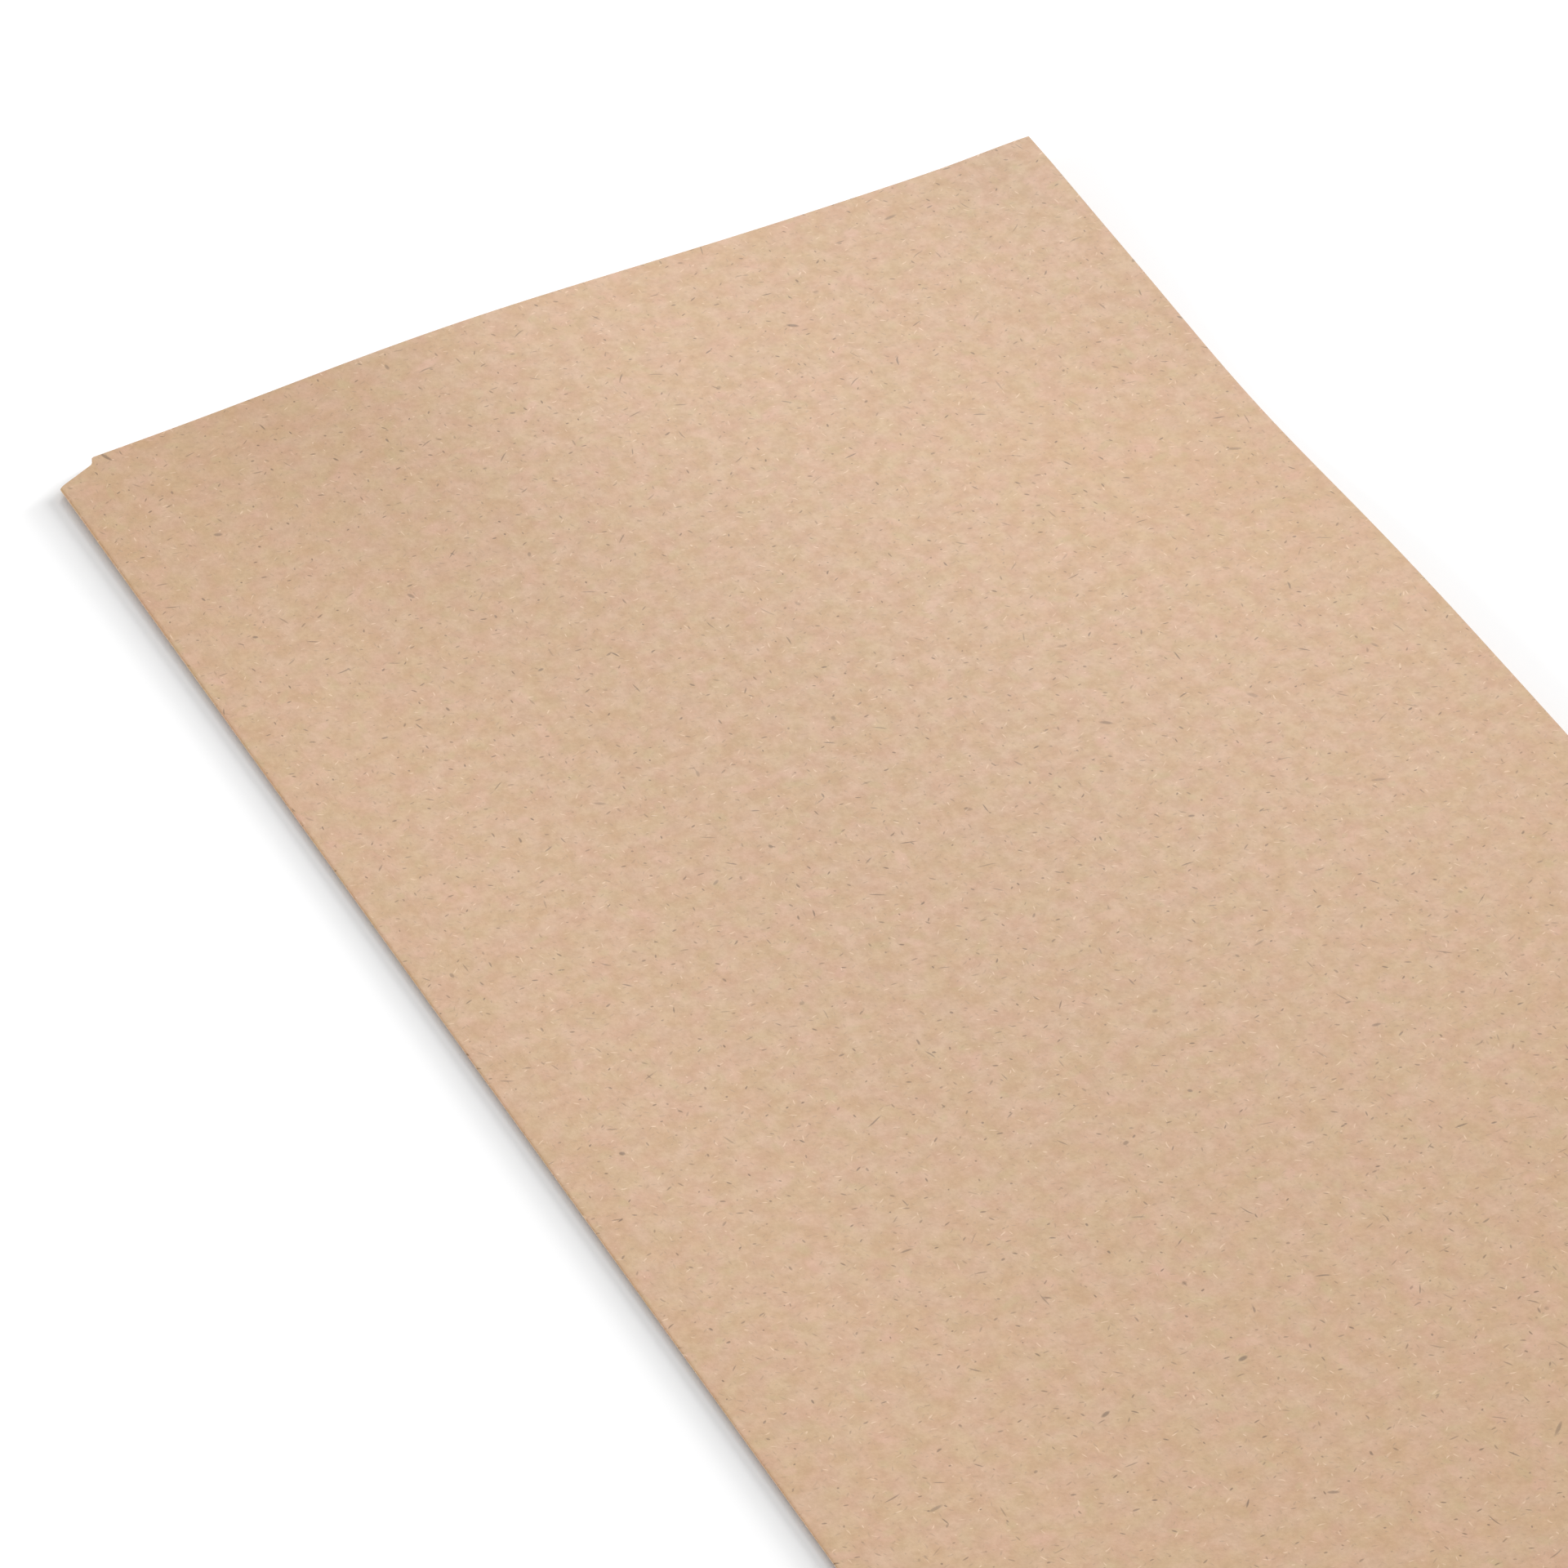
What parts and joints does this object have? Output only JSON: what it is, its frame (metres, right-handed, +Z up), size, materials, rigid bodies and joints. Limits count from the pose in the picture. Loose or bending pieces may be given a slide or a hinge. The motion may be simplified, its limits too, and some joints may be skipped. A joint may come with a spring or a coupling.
{
  "type": "paper napkin",
  "caption": "Thin natural brown paper napkin, one sheet folded lengthwise and then crosswise into a long narrow flat rectangle for wiping hands and mouth.",
  "frame": {"origin": "middle of the folded outline, on the table under the lowest leaf", "axes": "+X from the lengthwise fold to the open edges, +Y from the crosswise fold to the cut ends, +Z up out of the top leaf"},
  "size_m": [0.0894, 0.1736, 0.0004],
  "materials": {
    "paper": "matt, natural brown, unprinted"
  },
  "bodies": {
    "root": {"napkin": "paper"}
  },
  "joints": []
}
